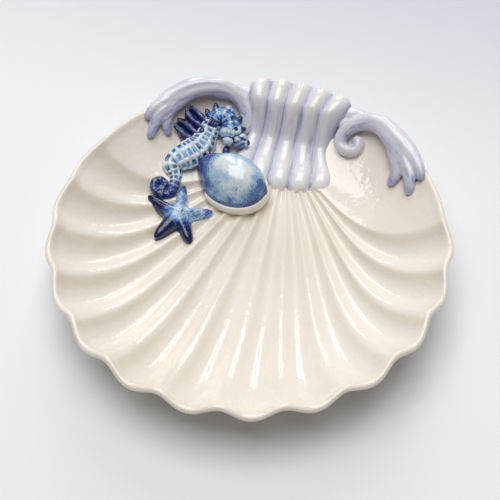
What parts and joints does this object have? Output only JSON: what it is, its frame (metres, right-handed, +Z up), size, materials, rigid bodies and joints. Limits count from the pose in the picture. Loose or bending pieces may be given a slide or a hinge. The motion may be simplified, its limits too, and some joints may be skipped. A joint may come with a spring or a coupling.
{
  "type": "shell plate",
  "caption": "Scalloped fluted shell serving plate in glazed earthenware, with a moulded crown and leaf scrolls at the back and an applied seahorse, clam and starfish.",
  "frame": {"origin": "middle of the object's footprint on the table, at the underside of the foot ring", "axes": "+Z up, +Y towards the crown at the back, +X to the right seen from the front"},
  "size_m": [0.3046, 0.308, 0.0644],
  "materials": {
    "cream_glaze": "glossy cream glaze with paler ridges and beige pooling",
    "bare_foot": "unglazed wiped foot",
    "crown_glaze": "glossy pale grey-lilac glaze, violet in the creases",
    "lavender_glaze": "glossy brushed lavender glaze",
    "seahorse_glaze": "glossy blue glaze, white on the rings",
    "cobalt_glaze": "glossy dark cobalt glaze",
    "blue_glaze": "glossy speckled blue and white glaze"
  },
  "bodies": {
    "root": {"dish": "cream_glaze", "foot_ring": "bare_foot", "crown": "crown_glaze", "left_scroll": "lavender_glaze", "right_scroll": "lavender_glaze", "seahorse_body": "seahorse_glaze", "seahorse_head": "seahorse_glaze", "seahorse_back_fin": "cobalt_glaze", "clam_lower_valve": "cream_glaze", "clam_upper_valve": "blue_glaze", "starfish": "blue_glaze"}
  },
  "joints": []
}
